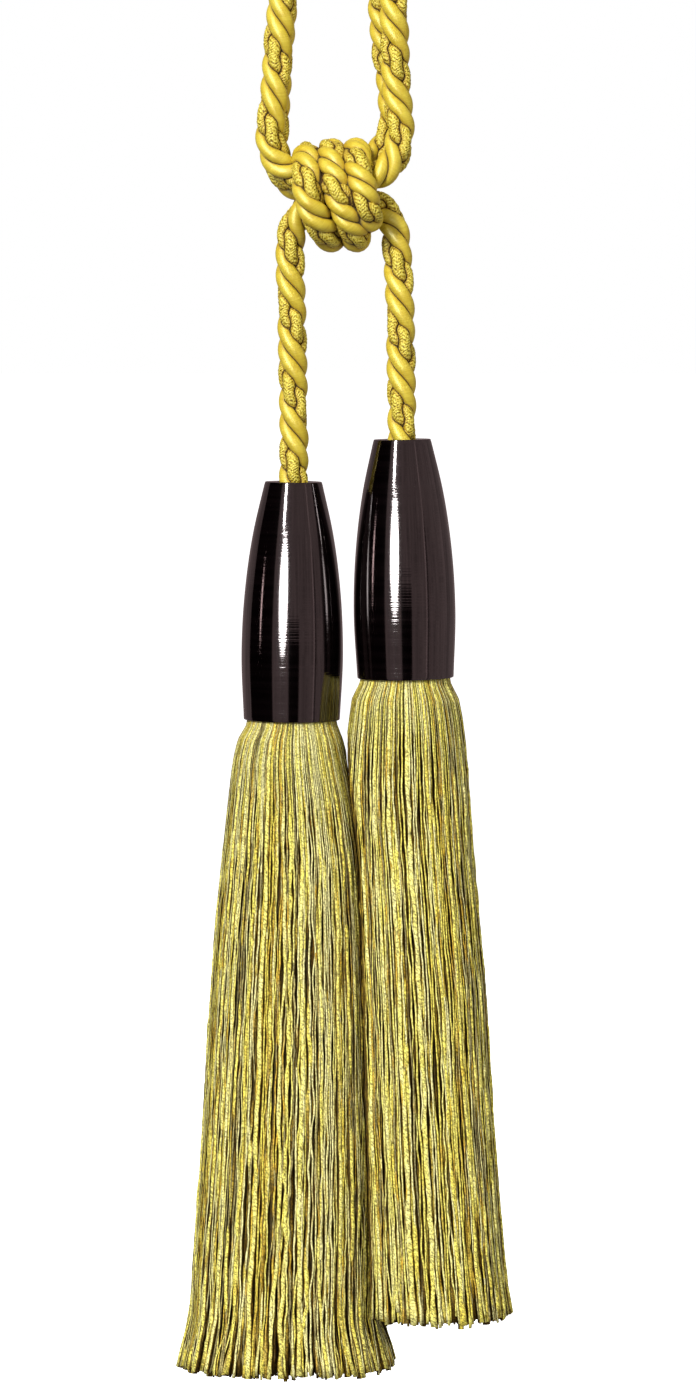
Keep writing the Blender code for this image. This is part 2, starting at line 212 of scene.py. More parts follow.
# ------------------------------
# The hanging loop: two lengths of the same rope, each up from the knot's left end, over the hook and down
# into its right end. The rope is three plies laid up in an S twist: two satin plies side by side, and one
# thicker ply of two knobbly boucle yarns that are twisted the other way.
ROPE_R = 4.8
ROPE_LEAD = 24.6  # length of one full twist
PLY_STEP = 0.9  # spacing of the sections along a ply
SATIN_PLACES = (126.0, 234.5)  # of the satin plies round the rope, in degrees after the boucle ply
SATIN_R, SATIN_RING = 2.3, 2.62  # of each ply, and of its middle about the rope's own line
BOUCLE_RING = 2.2
BOUCLE_YARN_R = 2.0  # each of the two yarns in the boucle ply
BOUCLE_YARN_RING = (0.8, 1.45)  # they lie on an ellipse, pressed flat by the plies beside them: out and sideways
BOUCLE_LEAD = 12.0
SATIN_SIDES = 24
BOUCLE_SIDES = 15
BOUCLE_ROWS_PER_STEP = 2
SEAM_RANGE = 1.6  # how far from its neighbour a ply's surface knows of it
SEAM_WIDTH, SEAM_DARK = 0.46, 0.20  # where the painted shade of the seam starts to darken, and where it is darkest
SEAM_REACH, SEAM_LEAST = 3.6, 4  # the stretch of it that counts each way, and the fewest sections
STITCH_COLUMNS = 3  # chevrons round a boucle yarn, their slant, their pitch along it and how proud they stand
STITCH_LEAN = 2.2
STITCH_PITCH = 0.95
STITCH_PROUD = 0.05

# Rows of X, Y and Z, or of X and Z where Y is the strand's depth.
LOOP_DEPTHS = {"loop_front": -4.97, "loop_back": 4.97}
LOOP_ROUTES = {
    "loop_front": (
        (-6.0, -4.6, -171.6), (-12.5, -170.4), (-17.4, -168.0), (-21.0, -163.4), (-22.4, -157.4),
        (-21.9, -150.4), (-20.7, -141.0), (-19.8, -128.4), (-18.3, -112.0), (-16.8, -86.0), (-15.6, -56.0),
        (-14.8, -30.0), (-12.9, -11.0), (-7.6, 1.2), (0.0, 4.95), (7.6, 1.2), (13.0, -11.0), (15.2, -30.0),
        (16.4, -56.0), (17.4, -86.0), (18.4, -112.0), (18.8, -128.4), (19.3, -141.6), (20.2, -150.0),
        (20.4, -157.6), (18.6, -164.4), (14.6, -168.8), (10.0, -4.7, -171.0), (5.0, -4.6, -172.0),
    ),
    "loop_back": (
        (-5.0, -174.4), (-12.5, -173.6), (-17.0, -171.0), (-19.8, -166.4), (-20.8, -159.4), (-20.9, -151.0),
        (-20.3, -141.0), (-19.5, -128.4), (-18.1, -112.0), (-16.7, -86.0), (-15.6, -56.0), (-14.9, -30.0),
        (-13.3, -11.0), (-8.6, 1.2), (-1.2, 4.95), (6.2, 1.2), (11.2, -11.0), (13.0, -30.0), (13.6, -56.0),
        (14.0, -86.0), (14.6, -112.0), (16.0, -128.4), (17.8, -141.6), (18.0, -150.0), (16.6, -157.4),
        (13.4, -162.6), (9.6, 4.8, -165.6), (5.0, 4.7, -167.4),
    ),
}
# Where the boucle ply faces the front on each arm, as heights.
LOOP_BOUCLE_FRONT = {"loop_front": (-131.0, -132.0), "loop_back": (-125.0, -135.4)}


def smooth_through(knots, values, at):
    """Cubic through a table's rows: Hermite pieces whose slope at a row is that of its neighbours."""
    slopes = np.gradient(values, knots)
    i = np.clip(np.searchsorted(knots, at, side="right") - 1, 0, len(knots) - 2)
    span = knots[i + 1] - knots[i]
    t = np.clip((at - knots[i]) / span, 0, 1)
    rise_from = (1 + 2 * t) * (1 - t) ** 2 * values[i]
    rise_to = t * t * (3 - 2 * t) * values[i + 1]
    bend_from = t * (1 - t) ** 2 * span * slopes[i]
    bend_to = t * t * (t - 1) * span * slopes[i + 1]
    return rise_from + rise_to + bend_from + bend_to


def lengths_along(points):
    """Distance of each point from the first, along the line through them, for one line or for many."""
    steps = np.linalg.norm(np.diff(points, axis=-2), axis=-1)
    return np.concatenate([np.zeros((*steps.shape[:-1], 1)), np.cumsum(steps, axis=-1)], axis=-1)


def smooth_route(route, step):
    """Points a step apart along a smooth curve through a route's own points."""
    points = np.array(route, float)
    along = lengths_along(points)
    fine_at = np.linspace(0, along[-1], 40 * len(points))
    fine = np.stack([smooth_through(along, points[:, k], fine_at) for k in range(3)], axis=1)
    length = lengths_along(fine)
    even = np.linspace(0, length[-1], round(length[-1] / step) + 1)
    return np.stack([np.interp(even, length, fine[:, k]) for k in range(3)], axis=1)


def unit(vectors):
    """Vectors divided by their lengths."""
    return vectors / np.maximum(np.linalg.norm(vectors, axis=-1, keepdims=True), 1e-9)


def frames_along(points, outward):
    """Outward and sideways unit vectors at each point: outward is the given direction squared to the line."""
    tangent = unit(np.gradient(points, axis=-2))
    out = unit(outward - tangent * np.sum(outward * tangent, axis=-1, keepdims=True))
    return out, np.cross(tangent, out)


def tube_grid(points, out, side, radius, sides, first_turn=0.0):
    """Rings of a tube: each point plus radius times (cos a outward + sin a sideways), a stepping round once."""
    a = (np.arange(sides) / sides + first_turn) * math.tau
    ring = np.cos(a)[:, None] * out[..., None, :] + np.sin(a)[:, None] * side[..., None, :]
    return points[..., None, :] + radius[..., None] * ring


def ring_faces(rows, sides):
    """The corners of each face between a tube's rings: their rows, and their steps round."""
    r, k = (part.ravel() for part in np.meshgrid(np.arange(rows - 1), np.arange(sides), indexing="ij"))
    return np.stack([r, r, r + 1, r + 1], axis=1), np.stack([k, k + 1, k + 1, k], axis=1)


def tube_parts(grid, slot_index, hollow=0.0):
    """A tube's vertices, faces, UVs and slot from its rings: quads between rings, a fan of triangles on each end.
    U runs once round; V is the length along in millimetres. Hollow is how deep between its neighbours a vertex is,
    which sets its painted seam shade; the middles of the ends count as deepest, so they are painted darkest."""
    rows, sides, _ = grid.shape
    middle = grid.mean(axis=1)
    along = lengths_along(middle)
    row, turn = ring_faces(rows, sides)
    quads = row * sides + turn % sides
    quad_uv = np.stack([turn / sides, along[row]], axis=2)
    ring, nxt = np.arange(sides), (np.arange(sides) + 1) % sides
    first = np.stack([nxt, ring, np.full(sides, rows * sides)], axis=1)
    last = np.stack([ring, nxt, np.full(sides, sides + 1)], axis=1) + (rows - 1) * sides
    tri_uv = np.zeros((2 * sides, 3, 2))
    tri_uv[sides:, :, 1] = along[-1]
    vertices = np.concatenate([grid.reshape(-1, 3), middle[[0, -1]]])
    depth = np.concatenate([np.broadcast_to(hollow, (rows, sides)).ravel(), [1.0, 1.0]])
    return {"vertices": vertices, "quads": quads, "quad_uv": quad_uv, "tris": np.concatenate([first, last]),
            "tri_uv": tri_uv, "slot": slot_index, "hollow": depth}


def smooth_piece(name, points, corners, starts, uv, slots, attribute, materials):
    """A smooth-shaded mesh object from points in millimetres, the faces' corners as numbers of points, where each
    face starts among the corners, each corner's UV, each face's slot, and a named value or colour for each point."""
    mesh = bpy.data.meshes.new(name)
    mesh.vertices.add(len(points))
    mesh.vertices.foreach_set("co", (points * MM).ravel())
    mesh.loops.add(len(corners))
    mesh.loops.foreach_set("vertex_index", corners.astype(np.int32))
    mesh.polygons.add(len(starts))
    mesh.polygons.foreach_set("loop_start", starts.astype(np.int32))
    mesh.polygons.foreach_set("material_index", slots.astype(np.int32))
    mesh.polygons.foreach_set("use_smooth", np.ones(len(starts), bool))
    mesh.update(calc_edges=True)
    mesh.uv_layers.new(name="around_along").data.foreach_set("uv", uv.ravel())
    label, values = attribute
    kind, field = ("FLOAT_COLOR", "color") if values.ndim == 2 else ("FLOAT", "value")
    mesh.attributes.new(label, kind, "POINT").data.foreach_set(field, values.astype(np.float32).ravel())
    for material in materials:
        mesh.materials.append(material)
    mesh.validate()
    piece = bpy.data.objects.new(name, mesh)
    scene.collection.objects.link(piece)
    return piece


def make_piece(name, parts, materials):
    """One mesh object from closed parts, each with its own material slot."""
    points, quad_uv, tri_uv, hollow = (
        np.concatenate([part[key] for part in parts]) for key in ("vertices", "quad_uv", "tri_uv", "hollow")
    )
    bases = np.cumsum([0] + [len(part["vertices"]) for part in parts])
    quads, tris = (np.concatenate([part[key] + base for part, base in zip(parts, bases)]) for key in ("quads", "tris"))
    slots = np.concatenate([np.full(len(part[key]), part["slot"]) for key in ("quads", "tris") for part in parts])
    corners = np.concatenate([quads.ravel(), tris.ravel()])
    starts = np.concatenate([np.arange(len(quads)) * 4, quads.size + np.arange(len(tris)) * 3])
    uv = np.concatenate([quad_uv.ravel(), tri_uv.ravel()])
    return smooth_piece(name, points, corners, starts, uv, slots, ("hollow", hollow), materials)


def ply_lines(points, out, side, boucle_angle, swell):
    """The middles of a rope's plies: two satin ones, then the boucle ply and its two yarns. Each stands off the
    rope's own line at an angle that turns steadily backwards along it (an S twist); the yarns turn the other way."""
    lines = []
    for place_deg, ring in zip((*SATIN_PLACES, 0.0), (SATIN_RING, SATIN_RING, BOUCLE_RING)):
        angle = boucle_angle + math.radians(place_deg)
        off = np.cos(angle)[:, None] * out + np.sin(angle)[:, None] * side
        lines.append((points + ring * swell * off, off))
    ply, off = lines[2]
    ply_out, ply_side = frames_along(ply, off)
    for half_turn in (0.0, math.pi):
        turn = half_turn + math.tau * lengths_along(ply) / BOUCLE_LEAD
        outward_part, side_part = np.cos(turn)[:, None] * ply_out, np.sin(turn)[:, None] * ply_side
        yarn = ply + swell * (BOUCLE_YARN_RING[0] * outward_part + BOUCLE_YARN_RING[1] * side_part)
        lines.append((yarn, outward_part + side_part))
    return lines


def seam_depth(grid, others):
    """How deep each vertex of a tube lies in the seams to its neighbours: 0 where it is SEAM_RANGE clear of their
    surfaces, 1 at or inside one. Each ring is compared with the stretch of each neighbour beside it."""
    clear = np.full(grid.shape[:2], np.inf)
    rows = np.arange(len(grid))
    reach = max(SEAM_LEAST, round(SEAM_REACH / np.linalg.norm(others[0][0][1] - others[0][0][0])))
    for line, radius in others:
        for step in range(-reach, reach + 1):
            beside = line[np.clip(rows + step, 0, len(grid) - 1)]
            clear = np.minimum(clear, np.linalg.norm(grid - beside[:, None, :], axis=2) - radius)
    return np.clip(1 - clear / SEAM_RANGE, 0, 1)


def rope_parts(points, outward, boucle_angle, swell=1.0):
    """The plies of a rope on a line of points, as tubes: round satin ones (slot 0), and boucle yarns (slot 1) knobbed
    by their stitches and set out on closer rings."""
    out, side = frames_along(points, outward)
    whole = np.arange(len(points))
    fine = np.linspace(0, len(points) - 1, BOUCLE_ROWS_PER_STEP * (len(points) - 1) + 1)
    fine_points, fine_out, fine_side = (
        np.stack([np.interp(fine, whole, part[:, k]) for k in range(3)], axis=1) for part in (points, out, side)
    )
    coarse_lines = ply_lines(points, out, side, boucle_angle, swell)
    fine_lines = ply_lines(fine_points, fine_out, fine_side, np.interp(fine, whole, boucle_angle), swell)
    radii = [SATIN_R * swell] * 2 + [None] + [BOUCLE_YARN_R * swell] * 2
    around = np.arange(BOUCLE_SIDES) / BOUCLE_SIDES
    parts = []
    for n, lines in ((0, coarse_lines), (1, coarse_lines), (3, fine_lines), (4, fine_lines)):
        line, off = lines[n]
        tube_out, tube_side = frames_along(line, off)
        radius, sides, slot = np.full((1, 1), radii[n]), SATIN_SIDES, 0
        if n > 1:
            lean = STITCH_LEAN * np.abs((around * STITCH_COLUMNS + 0.5) % 1 - 0.5)
            stitch = np.sin(math.tau * (lengths_along(line)[:, None] + lean) / STITCH_PITCH)
            radius, sides, slot = radii[n] * (1 + STITCH_PROUD * stitch), BOUCLE_SIDES, 1
        grid = tube_grid(line, tube_out, tube_side, radius, sides)
        others = [(lines[k][0], radii[k]) for k in (0, 1, 3, 4) if k != n]
        parts.append(tube_parts(grid, slot, seam_depth(grid, others)))
    return parts


def around_along(net):
    """The turn round a tube and the length along it, from its UV map."""
    return net.split(net.add("ShaderNodeUVMap", uv_map="around_along").outputs["UV"])[:2]


def colour_ramp(net, value, *stops):
    """A colour by value, through stops of a position and its red, green and blue."""
    node = net.add("ShaderNodeValToRGB", {"Fac": value})
    elements = node.color_ramp.elements
    for element, (position, *rgb) in ((elements[0], stops[0]), (elements[1], stops[-1])):
        element.position, element.color = position, (*rgb, 1.0)
    for position, *rgb in stops[1:-1]:
        elements.new(position).color = (*rgb, 1.0)
    return node.outputs["Color"]


def bump(net, height, strength, distance):
    """The normal of a surface raised by a height, at most by the distance in metres."""
    sockets = {"Height": height, "Strength": strength, "Distance": distance}
    return net.add("ShaderNodeBump", sockets).outputs["Normal"]


def wound_threads_group():
    """How light each thread is in a ribbon wound round a ply: noise read on a circle whose angle is the turn round
    plus the length along over the ribbon's advance, and a little along the ply, so that it has no join."""
    group = bpy.data.node_groups.new("wound_threads", "ShaderNodeTree")
    for name in ("Advance", "Spread", "Stretch", "Shift"):
        group.interface.new_socket(name, in_out="INPUT", socket_type="NodeSocketFloat")
    group.interface.new_socket("Threads", in_out="OUTPUT", socket_type="NodeSocketFloat")
    net = Net(group)
    given = net.add("NodeGroupInput").outputs
    around, along = around_along(net)
    turn = net.calc("ADD", net.calc("DIVIDE", along, given["Advance"]), around)
    angle = net.calc("MULTIPLY", turn, math.tau)
    x, y = (net.calc("MULTIPLY", net.calc(wave, angle), given["Spread"]) for wave in ("COSINE", "SINE"))
    z = net.calc("MULTIPLY_ADD", along, given["Stretch"], given["Shift"])
    place = net.add("ShaderNodeCombineXYZ", {0: x, 1: y, 2: z}).outputs[0]
    net.add("NodeGroupOutput", {"Threads": net.noise(place, 1.0, 3.0, 0.6)})
    return group


def add_painted_seam_shade(net, colour, shader):
    """Paints shade into a colour in the hollows between plies: darkens it there to a dull deep brown."""
    hollow = net.add("ShaderNodeAttribute", attribute_name="hollow").outputs["Fac"]
    edge, middle = 1 - SEAM_WIDTH / SEAM_RANGE, 1 - SEAM_DARK / SEAM_RANGE
    depth = net.remap(hollow, edge, middle)
    # Painted shade: the colour turns warm brown, then dark brown and rough, the deeper a point lies between plies.
    warm_painted_shade = net.mix(net.remap(hollow, 0.3, edge, 0.0, 0.55), colour, (0.34, 0.17, 0.006, 1.0), kind="RGBA")
    seam = net.mix(depth, warm_painted_shade, (0.040, 0.013, 0.0003, 1.0), kind="RGBA")
    dull = net.remap(depth, 0.0, 1.0, shader.inputs["Roughness"].default_value)
    fill(shader, {"Base Color": seam, "Roughness": dull})


def satin_material():
    """Bright rayon thread wound round a core: fine threads run across the ply, paler where the light catches
    them and deeper gold between."""
    material, shader, net = plain_material("satin_ply", (0.66, 0.48, 0.03), 0.42, 0.95, (0.97, 0.96, 0.55))
    winding = {"Advance": 4.4, "Spread": 4.0, "Stretch": 0.16}
    threads = net.add("ShaderNodeGroup", winding, node_tree=wound_threads).outputs[0]
    cloud = net.noise(net.place("Object"), 240.0, 2.0)
    shade = net.calc("MULTIPLY_ADD", cloud, 0.4, net.calc("MULTIPLY", threads, 0.6))
    gold = colour_ramp(net, shade, (0.36, 0.49, 0.335, 0.012), (0.64, 0.65, 0.52, 0.05))
    add_painted_seam_shade(net, gold, shader)
    fill(shader, {"Normal": bump(net, threads, 0.45, 0.00016)})
    return material


def boucle_material():
    """Knobbly chain-stitched yarn: rows of small slanted stitches in chevrons along it, painted bright on top and
    dark brown between them as shade."""
    material, shader, net = plain_material("boucle_ply", (0.70, 0.56, 0.13), 0.5, tint=(0.98, 0.93, 0.5))
    around, along = around_along(net)
    fold = net.calc("PINGPONG", net.calc("MULTIPLY", around, float(STITCH_COLUMNS)), 0.5)
    place = net.place("Object")
    shift = net.calc("MULTIPLY_ADD", net.noise(place, 700.0, 2.0), 0.6, along)
    lean = net.calc("MULTIPLY_ADD", fold, STITCH_LEAN, shift)
    stitch = net.calc("SINE", net.calc("MULTIPLY", lean, math.tau / STITCH_PITCH))
    cells = net.add("ShaderNodeTexVoronoi", {"Vector": place, "Scale": 1600.0}).outputs["Distance"]
    height = net.calc("MULTIPLY_ADD", cells, -2.0, net.calc("MULTIPLY", stitch, 0.45))
    level = net.remap(height, -2.0, -0.1)
    # Painted shade: the lower the surface between stitches and knobs, the darker brown its colour.
    gold = colour_ramp(net, level, (0.05, 0.12, 0.062, 0.003), (0.34, 0.46, 0.335, 0.016), (0.95, 0.80, 0.69, 0.13))
    add_painted_seam_shade(net, gold, shader)
    fill(shader, {"Normal": bump(net, level, 0.7, 0.0003)})
    return material


wound_threads = wound_threads_group()
satin, boucle = satin_material(), boucle_material()
FRONT = np.array((0.0, -1.0, 0.0))


def facing_front(points, heights):
    """The boucle ply's angle along a loop so that it faces the front at a height on each arm. The twist's lead is
    stretched a little so that both fit, and stays even beyond them."""
    along, half_way = lengths_along(points), len(points) // 2
    first, second = (along[arm][np.argmin(np.abs(points[arm, 2] - height))]
                     for arm, height in zip((slice(half_way), slice(half_way, None)), heights))
    lead = (second - first) / round((second - first) / ROPE_LEAD)
    return -math.tau * (along - first) / lead


def hang_rope(node, points, boucle_angle):
    """The visible rope in the place of a CAD node, on a line of points."""
    rope = make_piece(node + "_rope", rope_parts(points, FRONT, boucle_angle), [satin, boucle])
    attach(rope, "root")
    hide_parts(node)


for name, route in LOOP_ROUTES.items():
    route = [row if len(row) == 3 else (row[0], LOOP_DEPTHS[name], row[1]) for row in route]
    points = smooth_route(route, PLY_STEP)
    hang_rope(name, points, facing_front(points, LOOP_BOUCLE_FRONT[name]))

# ------------------------------
# The two ropes that come out of the knot's ends and hang down into the heads. The right one is shorter,
# so its tassel hangs higher. Each ends in a blind socket in its head.
SOCKET_DEPTH = 14.0
SOCKET_REST = 0.4  # the rope stops short of the socket's floor
# A row for each tassel: the middle of its head's top, and its lean to the right in degrees.
TASSELS = {"left": (-14.8, 1.0, -271.1, -0.45), "right": (21.3, -2.0, -256.9, 0.85)}
HANGING_ROUTES = {
    "left": (
        (-4.0, -3.2, -180.0), (-9.6, -3.2, -180.8), (-13.5, -3.0, -183.7), (-15.3, -2.4, -188.6),
        (-15.8, -1.8, -194.6), (-15.8, -1.3, -201.0), (-15.4, -0.6, -212.0), (-15.1, 0.0, -226.0),
        (-14.8, 0.5, -244.0), (-14.6, 0.9, -260.0),
    ),
    "right": (
        (5.0, 2.4, -177.4), (11.0, 2.4, -178.4), (15.4, 2.3, -181.0), (18.2, 2.1, -185.6), (19.3, 1.6, -192.0),
        (19.9, 1.0, -199.0), (20.5, -0.2, -211.0), (20.8, -0.9, -225.0), (21.1, -1.6, -242.0),
    ),
}
HANGING_BOUCLE_FRONT = {"left": -217.8, "right": -223.9}


def head_frame(side):
    """The middle of a head's top and the unit vector down its axis."""
    *top, lean_deg = TASSELS[side]
    lean = math.radians(lean_deg)
    return np.array(top), np.array((math.sin(lean), 0.0, -math.cos(lean)))


for side, route in HANGING_ROUTES.items():
    top, down = head_frame(side)
    points = smooth_route((*route, tuple(top), tuple(top + down * (SOCKET_DEPTH - SOCKET_REST))), PLY_STEP)
    along = lengths_along(points)
    station = along[np.argmin(np.abs(points[:, 2] - HANGING_BOUCLE_FRONT[side]))]
    hang_rope("rope_" + side, points, -math.tau * (along - station) / ROPE_LEAD)

# ------------------------------
# The knot: the same rope wound three times round the ropes that cross inside it, each turn slanting to
# the right as it comes down the front. The last turn tucks in underneath at the right.
KNOT_Z = -176.2
TURN_R = 14.0
# A row for each turn: where its top is along X, its slant to the right, the angles between which it slants, and how
# far it sinks at its top and below.
TURNS = (
    (-10.2, 7.8, -15, 95, 1.3, 0.0),
    (-2.3, 8.0, -45, 75, 0.0, 0.0),
    (6.0, 4.0, -60, 45, 0.0, 4.4),
)
KNOT_START_DEG = -235.0  # the first turn rises from inside, at the back
KNOT_END_DEG = 835.0
KNOT_INSIDE_R = 6.5
KNOT_END_SINK = 3.0
# Angles at which the boucle ply lies outermost, with the rope's twists counted from the first of them.
KNOT_TWISTS = (
    (-250.0, -3.2), (-15.3, 0.0), (58.0, 1.0), (355.5, 5.0), (421.0, 6.0), (673.8, 10.0), (735.3, 11.0), (860.0, 13.0),
)
KNOT_SWELL = 1.03
KNOT_SHADE = (0.45, 0.24)  # how the painted shade of the seam between two turns darkens: share of their distance, and a plain part
KNOT_CORE_R = 9.6
KNOT_CORE_ENDS = (-9.6, 8.6)
KNOT_CORE_ROWS, KNOT_CORE_SIDES = 15, 32


def ease(t):
    """0 up to t = 0, 1 from t = 1, and 3 t squared less 2 t cubed between, which is level at both ends."""
    t = np.clip(t, 0, 1)
    return t * t * (3 - 2 * t)


def knot_line(angle):
    """The wound rope's middle, by total angle in degrees: -90 is the first turn's top, 0 its front and 90 its
    underside. X steps to the right on each front, and the radius shrinks at both tucked ends."""
    angle = np.asarray(angle, float)
    x = np.full(angle.shape, TURNS[0][0])
    radius = np.full(angle.shape, TURN_R)
    for n, (top_x, slant, from_deg, to_deg, sink_top, sink_below) in enumerate(TURNS):
        local = angle - 360 * n
        step = TURNS[n + 1][0] - top_x if n + 1 < len(TURNS) else slant
        x += step * ease((local - from_deg) / (to_deg - from_deg))
        # A turn sinks from 200 to 90 degrees before its front, is out again 10 degrees before it, and sinks below.
        radius -= sink_top * (ease((local + 200) / 110) - ease((local + 90) / 80))
        radius -= sink_below * ease((local - 10) / 60)
    radius -= (TURN_R - KNOT_INSIDE_R) * (1 - ease((angle - KNOT_START_DEG) / 80))
    radius -= KNOT_END_SINK * ease((angle - (KNOT_END_DEG - 90)) / 80)
    a = np.radians(angle)
    outward = np.stack([np.zeros_like(a), -np.cos(a), -np.sin(a)], axis=1)
    line = np.stack([x, np.zeros_like(a), np.full(a.shape, KNOT_Z)], axis=1) + radius[:, None] * outward
    return line, outward


sweep = np.linspace(KNOT_START_DEG, KNOT_END_DEG, 2400)
rough, _ = knot_line(sweep)
rough_length = lengths_along(rough)
even = np.interp(np.arange(0, rough_length[-1], PLY_STEP), rough_length, sweep)
points, outward = knot_line(even)
twists = np.array(KNOT_TWISTS)
angle = -math.tau * smooth_through(twists[:, 0], twists[:, 1], even)
knot_parts = rope_parts(points, outward, angle, swell=KNOT_SWELL)
# Painted shade where the turns lie against each other: a point's hollow rises the nearer it is to another turn, so the
# seam colour darkens there.
for part in knot_parts:
    sides = BOUCLE_SIDES if part["slot"] else SATIN_SIDES
    rows = np.linspace(0, len(points) - 1, (len(part["vertices"]) - 2) // sides)
    own = np.repeat(np.interp(rows, np.arange(len(points)), even), sides)
    clear = np.full(len(own), np.inf)
    for n in range(0, len(points), 2):
        apart = np.linalg.norm(part["vertices"][:-2] - points[n], axis=1) - ROPE_R
        clear = np.where(np.abs(own - even[n]) > 180, np.minimum(clear, apart), clear)
    seam = np.clip(1 - (KNOT_SHADE[0] * clear + KNOT_SHADE[1]) / SEAM_RANGE, 0, 1)
    part["hollow"][:-2] = np.maximum(part["hollow"][:-2], seam)

# The ropes that cross inside are a barrel along X. Its radius goes as the root of 1 less 0.6 of the fourth power of
# the place along it, from -1 to 1.
t = np.linspace(-1, 1, KNOT_CORE_ROWS)[:, None]
middle = np.stack(np.broadcast_arrays(np.linspace(*KNOT_CORE_ENDS, KNOT_CORE_ROWS), 0.0, KNOT_Z), axis=1)
barrel = tube_grid(middle, FRONT, np.array((0.0, 0.0, -1.0)), KNOT_CORE_R * np.sqrt(1 - 0.6 * t ** 4), KNOT_CORE_SIDES)
# The barrel counts as deep in the hollows all over, so it is painted in the dark seam shade.
knot_parts.append(tube_parts(barrel, 1, 1.0))
knot = make_piece("wound_knot", knot_parts, [satin, boucle])
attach(knot, "root")
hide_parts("knot")

# ------------------------------
# The heads: hardwood turned to a long bullet with a flat top, drilled for the rope and hollowed below for
# the skirt, then sprayed with black-brown lacquer to a high gloss over the fine lines the lathe left.
HEAD_H = 79.3
# Rows of the share of the way down and the radius there.
HEAD_PROFILE = ((0.0, 9.5), (0.22, 13.4), (0.48, 16.1), (0.72, 16.95), (1.0, 16.05))
HEAD_SIDES = 128
HEAD_ROWS = 70
EDGE_R = 0.3
SOCKET_BEVEL, RIM_LIP = 0.4, 0.2
RING_PITCH = 0.85  # the lathe's rings, and how deep they are cut
RING_DEPTH = 0.0055
SOCKET_R = ROPE_R + 0.52
CUP_R = 15.35
CUP_DEPTH = 4.0


def head_outline():
    """The turned profile as rows of (radius, depth below the top): socket floor, socket wall, top, outer side with
    rounded edges, rim, cup wall and cup ceiling."""
    table = np.array(HEAD_PROFILE)
    at = np.linspace(0, 1, HEAD_ROWS)
    radius = smooth_through(table[:, 0], table[:, 1], at)
    side = np.stack([radius, at * HEAD_H], axis=1)[1:-1]
    a = np.radians(np.linspace(90, 8, 5))
    edge_x, edge_z = EDGE_R - EDGE_R * np.cos(a), EDGE_R - EDGE_R * np.sin(a)
    top_edge = np.stack([radius[0] - edge_x, edge_z], axis=1)
    low_edge = np.stack([radius[-1] - edge_x, HEAD_H - edge_z], axis=1)[::-1]
    inner = [(SOCKET_R, SOCKET_DEPTH), (SOCKET_R, SOCKET_BEVEL), (SOCKET_R + SOCKET_BEVEL, 0.0)]
    cup = [(CUP_R, HEAD_H - RIM_LIP), (CUP_R, HEAD_H - CUP_DEPTH)]
    return np.concatenate([inner, top_edge, side, low_edge, cup])


def stretched(net, place, scale):
    """Texture coordinates scaled along X, Y and Z."""
    return net.add("ShaderNodeMapping", {"Vector": place, "Scale": scale}).outputs["Vector"]


def lacquer_material():
    """Black-brown lacquer: near-mirror gloss with a brown cast, over the fine even rings that the lathe left, which
    are a sine wave down the head whose pitch and depth wander."""
    cast, tint = (0.0035, 0.0015, 0.0018), (1.0, 0.92, 0.92)
    material, shader, net = plain_material("dark_lacquer_gloss", cast, 0.09, 1.0, tint)
    place = net.place("Object")
    uneven = net.noise(stretched(net, place, (6.0, 6.0, 420.0)), 1.0, 3.0, 0.6)
    turns = net.calc("MULTIPLY", net.split(place)[2], math.tau / (RING_PITCH * MM))
    rings = net.calc("SINE", net.calc("MULTIPLY_ADD", uneven, 22.0, turns))
    cut = net.calc("MULTIPLY", rings, net.remap(uneven, 0.40, 0.64, 0.15, 1.0))
    brown = colour_ramp(net, uneven, (0.42, 0.0006, 0.0002, 0.0003), (0.64, 0.0022, 0.0011, 0.0013))
    gloss = net.remap(uneven, 0.0, 1.0, 0.07, 0.11)
    fill(shader, {"Base Color": brown, "Roughness": gloss, "Normal": bump(net, cut, 1.0, RING_DEPTH * MM)})
    return material


lacquer, outline = lacquer_material(), head_outline()
for side in TASSELS:
    top, down = head_frame(side)
    centres = top + down * outline[:, 1:2]
    grid = tube_grid(centres, FRONT, np.cross(down, FRONT), outline[:, 0:1], HEAD_SIDES)
    head = make_piece(f"turned_head_{side}", [tube_parts(grid, 0)], [lacquer])
    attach(head, "root")
    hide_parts("head_" + side)

# ------------------------------
# The skirts: long cut yarns bound into each head's cup and hanging straight down, thick soft ones and
# thin twisted ones mixed, in gold, straw and olive. They press on each other and fray a little at the ends.
SKIRT_NECK_R = CUP_R - 0.55
SKIRT_ROUNDNESS = 2.25
# Rows down each skirt: height, and how far it reaches to the left, right, front and back.
SKIRTS = {
    "left": (
        (-352.0, -31.2, 0.3, -14.8, 16.6), (-356.6, -33.6, 1.8, -16.2, 18.2), (-364.0, -35.4, 3.6, -17.3, 19.5),
        (-377.0, -36.9, 6.6, -18.1, 20.6), (-395.0, -38.8, 9.6, -19.0, 22.0), (-420.0, -41.5, 11.6, -20.0, 23.6),
        (-454.0, -43.9, 13.0, -21.0, 25.4), (-506.0, -47.0, 14.6, -22.8, 28.0), (-534.0, -49.2, 15.0, -24.0, 29.6),
        (-550.0, -50.0, 15.0, -25.0, 30.8), (-567.4, -54.0, 19.4, -26.5, 32.6),
    ),
    "right": (
        (-337.8, 6.6, 38.1, -17.6, 13.8), (-343.2, 4.3, 40.5, -19.4, 15.2), (-350.0, 3.4, 41.8, -20.5, 16.0),
        (-358.2, 2.4, 42.9, -21.3, 16.7), (-369.0, 1.7, 43.8, -22.0, 17.3), (-382.0, 1.9, 44.6, -22.7, 18.0),
        (-400.0, 3.0, 45.9, -23.7, 18.9), (-439.0, 4.2, 49.6, -25.4, 20.4), (-480.0, 5.4, 52.1, -27.0, 21.8),
        (-528.0, 7.0, 55.7, -29.0, 23.6), (-548.8, 7.6, 58.3, -30.6, 25.0),
    ),
}
